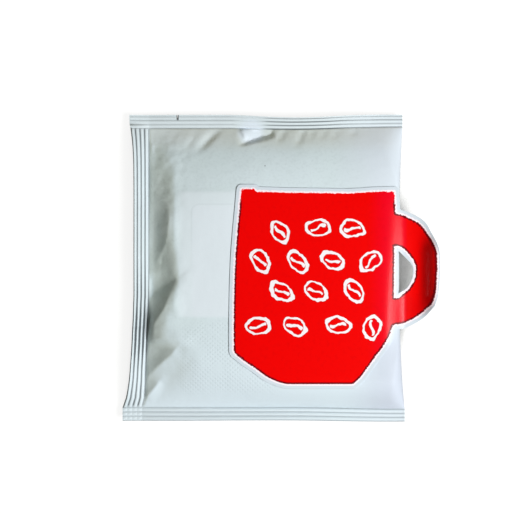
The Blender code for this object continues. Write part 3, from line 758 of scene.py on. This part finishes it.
def linear(red, green, blue):  # from a screen colour
    def toLinear(v):
        v /= 255
        return v / 12.92 if v <= 0.04045 else ((v + 0.055) / 1.055) ** 2.4
    return (toLinear(red), toLinear(green), toLinear(blue), 1.0)


filmLook = {
    "film": linear(207, 220, 222), "filmCool": linear(211, 223, 227), "card": linear(219, 228, 233),
    "opening": linear(222, 229, 236), "topShade": linear(206, 208, 203), "seam": linear(214, 224, 229),
    "low": linear(214, 226, 233), "lowRightShade": linear(202, 209, 221), "highRightLight": linear(217, 225, 234),
    "groove": linear(40, 48, 54), "mark": linear(60, 66, 70), "tuckHighlight": linear(216, 225, 234),
    "shadowTint": (1.0, 0.975, 0.90, 1.0), "turnedUpShadeTint": (1.0, 0.955, 0.89, 1.0),
    "tuckHighlightAt": (-6.2, 52.6), "speckAt": (-0.8, 39.2), "dotPitch": 1.92, "dotLean": 1.12,
    "roughness": 0.5, "rougher": 0.05, "smoother": 0.04, "specular": 0.2,
    "grainBump": 0.006, "dentBump": 0.10, "stampBump": 0.03, "dotBump": -0.05,
}

# how strongly each of its tints shows
filmShares = {
    "mottle": 0.07, "topShade": 0.5, "highRightLight": 0.9, "card": 0.85, "opening": 0.45, "line": 0.05,
    "seam": 0.8, "groove": 0.9, "dots": 0.055, "tuckHighlight": 0.8, "speck": 0.6,
}

# where each tint begins and where it is full, in millimetres
filmZones = {
    "topShadeY": (42.0, 53.0), "low": (0.0, 52.0), "lowRightX": (26.0, 50.0), "lowRightY": (-14.0, -34.0),
    "highRightX": (22.0, 46.0), "highRightY": (24.0, 34.0), "lineY": (-4.0, 20.0), "turnedUpShadeY": (44.0, 48.0),
    "dotsBottom": (-51.0, -45.0), "dotsTop": (-19.5, -22.5),
    "dotsLeft": (-37.0, -30.0), "dotsRight": (8.0, 0.0),
    "slitX": (0.55, 0.2), "slitY": (56.9, 57.6), "stampedY": (56.6, 57.2),
}


def filmMaterial():
    made, tree, shader = newMaterial("satinWhiteFilm")
    look, share, zone, card = filmLook, filmShares, filmZones, hangerMark
    coords, x, y = objectMillimetres(tree)
    cloudy = noiseOf(tree, coords, 26.0)
    colour = blendColour(tree, between(tree, cloudy, 0.35, 0.65), look["film"], look["filmCool"])
    mottle = between(tree, noiseOf(tree, coords, 1.1, 4.0), 0.42, 0.75)
    colour = blendColour(tree, times(tree, mottle, share["mottle"]), colour, look["mark"])
    # painted shade: the film turns darker and browner towards the top seal, where it turns up away from the
    # lamp
    shadedTop = blendColour(tree, share["topShade"], colour, look["topShade"])
    colour = blendColour(tree, between(tree, y, *zone["topShadeY"]), colour, shadedTop)
    # painted light: the film turns lighter and bluer towards the bottom and right, the lamp's side
    lower = minus(tree, times(tree, x, 0.2), y)
    colour = blendColour(tree, between(tree, lower, *zone["low"]), colour, look["low"])
    # painted shade: darker low by the fold, toning down the slope there that faces the lamp
    lowRightShade = times(tree, between(tree, x, *zone["lowRightX"]), between(tree, y, *zone["lowRightY"]))
    colour = blendColour(tree, lowRightShade, colour, look["lowRightShade"])
    # painted light: a paler strip high along the fold, where the film slopes towards the lamp
    highRightLight = times(tree, between(tree, x, *zone["highRightX"]), between(tree, y, *zone["highRightY"]))
    colour = blendColour(tree, times(tree, highRightLight, share["highRightLight"]), colour, look["highRightLight"])

    def insideBox(left, right, bottom, top):  # + inside its round-cornered edge, - outside, in millimetres
        edgeX = calc(tree, "MINIMUM", minus(tree, x, left), minus(tree, right, x))
        edgeY = calc(tree, "MINIMUM", minus(tree, y, bottom), minus(tree, top, y))
        shortX = calc(tree, "MAXIMUM", minus(tree, card["corner"], edgeX), 0.0)
        shortY = calc(tree, "MAXIMUM", minus(tree, card["corner"], edgeY), 0.0)
        squares = calc(tree, "ADD", times(tree, shortX, shortX), times(tree, shortY, shortY))
        return minus(tree, card["corner"], calc(tree, "SQRT", squares))

    inCard = between(tree, insideBox(card["left"], card["right"], card["bottom"], card["top"]), -0.7, 1.3)
    inCard = times(tree, inCard, between(tree, x, card["left"], card["left"] + 5.0))
    colour = blendColour(tree, times(tree, inCard, share["card"]), colour, look["card"])
    opening = insideBox(card["left"] + card["frame"], card["right"] - card["frame"],
                        card["bottom"] - card["openBelow"], card["top"] - card["frameTop"])
    # painted shade: a faint dark line along the frame's edge, where the card's fold presses through the film
    line = between(tree, calc(tree, "ABSOLUTE", opening), card["frameLine"], 0.1)
    line = times(tree, line, times(tree, inCard, between(tree, y, *zone["lineY"])))
    inOpening = times(tree, inCard, between(tree, opening, -0.6, 1.4))
    colour = blendColour(tree, times(tree, inOpening, share["opening"]), colour, look["opening"])
    colour = blendColour(tree, times(tree, line, share["line"]), colour, look["groove"])

    # painted shade: what faces away from the lamp, or up from the body near the top, is tinted browner; the
    # grooves are darkened with painted shade
    facing = partsOf(tree, addNode(tree, "ShaderNodeNewGeometry").outputs["Normal"])
    turnedAway = between(tree, facing["X"], -0.10, -0.55)
    turnedUp = times(tree, between(tree, facing["Y"], 0.25, 0.7), between(tree, y, *zone["turnedUpShadeY"]))
    colour = blendColour(tree, turnedAway, colour, look["shadowTint"], "MULTIPLY")
    colour = blendColour(tree, turnedUp, colour, look["turnedUpShadeTint"], "MULTIPLY")
    colour = blendColour(tree, times(tree, attribute(tree, "seam"), share["seam"]), colour, look["seam"])
    # painted shade in the grooves, at the cut edge and in the gap by the side seal
    inGroove = times(tree, between(tree, attribute(tree, "groove"), 0.05, 0.9), share["groove"])
    colour = blendColour(tree, inGroove, colour, look["groove"])

    # the filter fabric shows through as a faint staggered dot grid
    perDot = math.pi / look["dotPitch"]
    tall = times(tree, y, look["dotLean"])
    sineX = calc(tree, "SINE", times(tree, calc(tree, "ADD", x, tall), perDot))
    sineY = calc(tree, "SINE", times(tree, minus(tree, x, tall), perDot))
    dots = between(tree, calc(tree, "ABSOLUTE", times(tree, sineX, sineY)), 0.5, 1.0)
    low = times(tree, between(tree, y, *zone["dotsBottom"]), between(tree, y, *zone["dotsTop"]))
    side = times(tree, between(tree, x, *zone["dotsLeft"]), between(tree, x, *zone["dotsRight"]))
    dots = times(tree, dots, times(tree, low, side))
    dots = times(tree, dots, between(tree, noiseOf(tree, coords, 6.0), 0.25, 0.6))
    colour = blendColour(tree, times(tree, dots, share["dots"]), colour, look["groove"])

    # a painted highlight on the tuck's lit face, one dark speck, and painted shade along the tear slit
    here = flatPoint(tree, x, y)

    def distanceFrom(place):
        away = addNode(tree, "ShaderNodeVectorMath", operation="DISTANCE")
        feed(tree, away.inputs[0], here)
        away.inputs[1].default_value = (*place, 0)
        return away.outputs["Value"]

    tuckHighlight = between(tree, distanceFrom(look["tuckHighlightAt"]), 6.5, 3.0)
    colour = blendColour(tree, times(tree, tuckHighlight, share["tuckHighlight"]), colour, look["tuckHighlight"])
    speck = between(tree, distanceFrom(look["speckAt"]), 0.36, 0.12)
    colour = blendColour(tree, times(tree, speck, share["speck"]), colour, look["mark"])
    # painted shade: a dark line along the tear slit, where its depth lies in shadow
    slitSide = calc(tree, "ABSOLUTE", minus(tree, x, sachetSizes["slitX"]))
    slit = times(tree, between(tree, slitSide, *zone["slitX"]), between(tree, y, *zone["slitY"]))
    colour = blendColour(tree, slit, colour, look["mark"])
    feed(tree, shader.inputs["Base Color"], colour)

    fine = noiseOf(tree, coords, 0.5, 3.0)
    rough = addNode(tree, "ShaderNodeMapRange")
    smoothest, roughest = look["roughness"] - look["smoother"], look["roughness"] + look["rougher"]
    for socket, given in zip(rough.inputs, (fine, 0.3, 0.7, smoothest, roughest)):
        feed(tree, socket, given)
    feed(tree, shader.inputs["Roughness"], rough.outputs[0])
    shader.inputs["Specular IOR Level"].default_value = look["specular"]

    # bump: the laminate's grain, soft dents, the grain stamped on the top seal's outer half, the dot grid
    dents = noiseOf(tree, coords, 5.0, 3.0)
    stamped = times(tree, calc(tree, "SINE", times(tree, x, 9.0)), calc(tree, "SINE", times(tree, y, 9.0)))
    stamped = times(tree, stamped, between(tree, y, *zone["stampedY"]))
    height = times(tree, fine, look["grainBump"])
    height = calc(tree, "MULTIPLY_ADD", dents, look["dentBump"], height)
    height = calc(tree, "MULTIPLY_ADD", stamped, look["stampBump"], height)
    addBump(tree, shader, calc(tree, "MULTIPLY_ADD", dots, look["dotBump"], height))
    return made


labelLook = {
    "red": linear(238, 0, 0), "redSheen": linear(236, 0, 30), "redEdge": linear(96, 4, 16),
    "paper": linear(210, 219, 227), "rim": linear(255, 238, 244), "ink": linear(246, 238, 241),
    "roughness": 0.20, "specular": 0.115, "grainBump": 0.012,
}

# how strongly its darker tints show, the handle's being painted shade, and where, in millimetres
labelShares = {"uneven": 0.07, "beanRim": 0.4, "rim": 0.92, "handle": 0.22, "lowHandleShade": 0.12}
labelZones = {
    "sheenFrom": (38.0, 48.0), "sheenTo": (54.5, 52.5), "handleX": (54.0, 66.0), "lowHandleX": (50.0, 57.0),
    "lowHandleY": (-8.0, -15.0), "rimTop": (27.5, 24.0), "rimWider": (60.0, 63.0), "raggedY": (-44.0, -38.0),
}

# scattered coffee beans in place of the mug's lettering: rows set off by half a step
beanPrint = {
    "stepX": 14.4, "stepY": 12.2, "firstX": -9.6, "firstY": -28.2, "fromX": -5.0, "toX": 42.5,
    "fromY": -26.0, "toY": 18.0, "halfLong": 4.5, "halfWide": 3.0, "stroke": 0.52, "unevenStroke": 0.8,
    "wobble": 2.6, "wobbleSize": 4.0, "shiftX": 2.4, "shiftY": 2.0, "seamWave": 0.8, "seamReach": 0.66,
}


def beanStrokes(tree, coords, x, y):  # millimetres from the nearest stroke, less than 0 on it
    b = beanPrint
    wobble = addNode(tree, "ShaderNodeTexNoise")
    feed(tree, wobble.inputs["Vector"], coords)
    wobble.inputs["Scale"].default_value = 1 / b["wobbleSize"]
    wobble.inputs["Detail"].default_value = 2.0
    bend = partsOf(tree, wobble.outputs["Color"])
    x = calc(tree, "MULTIPLY_ADD", minus(tree, bend["X"], 0.5), b["wobble"], x)
    y = calc(tree, "MULTIPLY_ADD", minus(tree, bend["Y"], 0.5), b["wobble"], y)
    rows = calc(tree, "DIVIDE", minus(tree, y, b["firstY"]), b["stepY"])
    row = calc(tree, "FLOOR", rows)
    shift = times(tree, calc(tree, "MODULO", calc(tree, "ADD", row, 20.0), 2.0), 0.5)
    columns = minus(tree, calc(tree, "DIVIDE", minus(tree, x, b["firstX"]), b["stepX"]), shift)
    column = calc(tree, "FLOOR", columns)
    across = times(tree, minus(tree, minus(tree, columns, column), 0.5), b["stepX"])
    up = times(tree, minus(tree, minus(tree, rows, row), 0.5), b["stepY"])
    middleX = minus(tree, x, across)
    middleY = minus(tree, y, up)

    chance = addNode(tree, "ShaderNodeTexWhiteNoise", noise_dimensions="2D")
    feed(tree, chance.inputs["Vector"], flatPoint(tree, column, row))
    chanceX, chanceY, chanceTurn = partsOf(tree, chance.outputs["Color"])
    across = calc(tree, "ADD", across, calc(tree, "MULTIPLY_ADD", chanceX, b["shiftX"], -b["shiftX"] / 2))
    up = calc(tree, "ADD", up, calc(tree, "MULTIPLY_ADD", chanceY, b["shiftY"], -b["shiftY"] / 2))
    turn = times(tree, chanceTurn, math.pi)
    sine, cosine = calc(tree, "SINE", turn), calc(tree, "COSINE", turn)
    along = calc(tree, "ADD", times(tree, across, cosine), times(tree, up, sine))
    over = minus(tree, times(tree, up, cosine), times(tree, across, sine))

    shareLong = calc(tree, "DIVIDE", along, b["halfLong"])
    shareWide = calc(tree, "DIVIDE", over, b["halfWide"])
    squares = calc(tree, "ADD", times(tree, shareLong, shareLong), times(tree, shareWide, shareWide))
    rim = calc(tree, "ABSOLUTE", minus(tree, calc(tree, "SQRT", squares), 1.0))
    rim = times(tree, rim, 0.5 * (b["halfLong"] + b["halfWide"]))
    wave = times(tree, calc(tree, "SINE", times(tree, shareLong, math.pi)), b["seamWave"])
    seam = calc(tree, "ABSOLUTE", minus(tree, over, wave))
    past = calc(tree, "MAXIMUM", minus(tree, calc(tree, "ABSOLUTE", shareLong), b["seamReach"]), 0.0)
    seam = calc(tree, "MULTIPLY_ADD", past, 12.0, seam)
    nearest = minus(tree, calc(tree, "MINIMUM", rim, seam), b["stroke"])
    nearest = calc(tree, "MULTIPLY_ADD", minus(tree, bend["Z"], 0.5), b["unevenStroke"], nearest)
    kept = calc(tree, "MINIMUM", minus(tree, middleX, b["fromX"]), minus(tree, b["toX"], middleX))
    kept = calc(tree, "MINIMUM", kept, minus(tree, middleY, b["fromY"]))
    kept = calc(tree, "MINIMUM", kept, minus(tree, b["toY"], middleY))
    return calc(tree, "MAXIMUM", nearest, times(tree, kept, -100.0))  # no bean outside the print's middle


def labelMaterial():
    made, tree, shader = newMaterial("printedLabelPaper")
    look, share, zone = labelLook, labelShares, labelZones
    coords, x, y = objectMillimetres(tree)
    ragged = minus(tree, noiseOf(tree, coords, 0.7, 2.0), 0.5)
    ragged = times(tree, ragged, calc(tree, "MULTIPLY_ADD", between(tree, y, *zone["raggedY"]), 0.9, 0.2))
    depth = calc(tree, "ADD", ragged, attribute(tree, "inkDepth"))
    # painted reflection: the red turns bluer near the fold, where the label bends towards the lamp
    nearFold = times(tree, between(tree, x, *zone["sheenFrom"]), between(tree, x, *zone["sheenTo"]))
    red = blendColour(tree, nearFold, look["red"], look["redSheen"])
    uneven = between(tree, noiseOf(tree, coords, 1.6, 3.0), 0.45, 0.8)
    red = blendColour(tree, times(tree, uneven, share["uneven"]), red, look["redEdge"])
    beans = beanStrokes(tree, coords, x, y)
    beanRim = times(tree, between(tree, beans, 0.34, 0.08), share["beanRim"])
    red = blendColour(tree, beanRim, red, look["redEdge"])
    red = blendColour(tree, between(tree, beans, 0.07, -0.07), red, look["ink"])
    rimWide = calc(tree, "MULTIPLY_ADD", between(tree, x, *zone["rimWider"]), 0.5, 0.95)
    rim = times(tree, between(tree, depth, rimWide, 0.5), between(tree, y, *zone["rimTop"]))
    red = blendColour(tree, times(tree, rim, share["rim"]), red, look["redEdge"])
    # painted shade: the handle's red darkens towards its curled tip, and more low down
    handle = times(tree, between(tree, x, *zone["handleX"]), share["handle"])
    red = blendColour(tree, handle, red, look["redEdge"])
    lowHandleShade = times(tree, between(tree, x, *zone["lowHandleX"]), between(tree, y, *zone["lowHandleY"]))
    red = blendColour(tree, times(tree, lowHandleShade, share["lowHandleShade"]), red, look["redEdge"])
    paper = blendColour(tree, between(tree, depth, -0.8, -0.35), look["paper"], look["rim"])
    colour = blendColour(tree, between(tree, depth, -0.05, 0.1), paper, red)
    feed(tree, shader.inputs["Base Color"], colour)
    shader.inputs["Roughness"].default_value = look["roughness"]
    shader.inputs["Specular IOR Level"].default_value = look["specular"]
    addBump(tree, shader, times(tree, noiseOf(tree, coords, 0.9, 3.0), look["grainBump"]))
    return made


# studio: straight above the sachet, one large soft lamp from the right, an even surround;
# the lamp's place and size and the shade's reach are in metres
studio = {
    "photoWidth": 199.4, "centre": (-3.88, 4.07), "cameraHeight": 900.0, "focusHeight": 5.0,
    "keyPlace": (0.64, -0.28, 0.90), "keySize": 0.5, "keyPower": 15.1, "keyColour": (0.98, 1.0, 1.02),
    "surround": 0.16, "surroundColour": (1.0, 0.98, 0.80),
    "floorGlow": 0.90, "floorColour": (0.20, 0.20, 0.19),
    "shadeReach": 0.03, "shadeRange": (0.35, 0.53), "darkest": 0.16,
}


def makeStudio():
    scene = bpy.context.scene
    scene.view_settings.view_transform = "Standard"
    selectNothing()
    bpy.ops.mesh.primitive_plane_add(size=4, location=(0, 0, -0.0002))
    floor = bpy.context.object
    floor.name = "paleFloor"
    made, tree, shader = newMaterial("paleFloor")
    tree.nodes.remove(shader)
    diffuse = addNode(tree, "ShaderNodeBsdfDiffuse")
    diffuse.inputs["Color"].default_value = (*studio["floorColour"], 1)
    glow = addNode(tree, "ShaderNodeEmission")
    rays = addNode(tree, "ShaderNodeLightPath")
    seen = calc(tree, "MAXIMUM", rays.outputs["Is Camera Ray"],
                calc(tree, "MAXIMUM", rays.outputs["Is Glossy Ray"], rays.outputs["Is Transmission Ray"]))
    # painted shade: the floor's glow fades where the sachet closes over it, darkest under the handle
    openSky = addNode(tree, "ShaderNodeAmbientOcclusion", samples=8)
    openSky.inputs["Distance"].default_value = studio["shadeReach"]
    glowKept = between(tree, openSky.outputs["AO"], *studio["shadeRange"])
    glowKept = calc(tree, "MAXIMUM", glowKept, studio["darkest"])
    feed(tree, glow.inputs["Strength"], times(tree, seen, glowKept, studio["floorGlow"]))
    both = addNode(tree, "ShaderNodeAddShader")
    feed(tree, both.inputs[0], diffuse.outputs[0])
    feed(tree, both.inputs[1], glow.outputs[0])
    feed(tree, tree.nodes["Material Output"].inputs["Surface"], both.outputs[0])
    floor.data.materials.append(made)

    world = bpy.data.worlds.new("evenSurround")
    world.use_nodes = True
    world.node_tree.nodes["Background"].inputs["Color"].default_value = (*studio["surroundColour"], 1)
    world.node_tree.nodes["Background"].inputs["Strength"].default_value = studio["surround"]
    scene.world = world

    key = bpy.data.lights.new("keySoftbox", "AREA")
    key.shape = "SQUARE"
    key.size = studio["keySize"]
    key.energy = studio["keyPower"]
    key.color = studio["keyColour"]
    lamp = bpy.data.objects.new("keySoftbox", key)
    lamp.location = studio["keyPlace"]
    lamp.rotation_euler = (-Vector(studio["keyPlace"])).to_track_quat("-Z", "Y").to_euler()
    scene.collection.objects.link(lamp)

    eye = bpy.data.cameras.new("overhead")
    away = studio["cameraHeight"] - studio["focusHeight"]
    eye.lens = eye.sensor_width * away / studio["photoWidth"]
    eye.clip_start = 0.01
    camera = bpy.data.objects.new("overhead", eye)
    camera.location = Vector((*studio["centre"], studio["cameraHeight"])) * mm
    scene.collection.objects.link(camera)
    scene.camera = camera


print("sachet: film, seals and creases")
makeSachet()
print("label: cut paper and print")
makeLabel()
print("studio: floor, lamp and camera")
makeStudio()
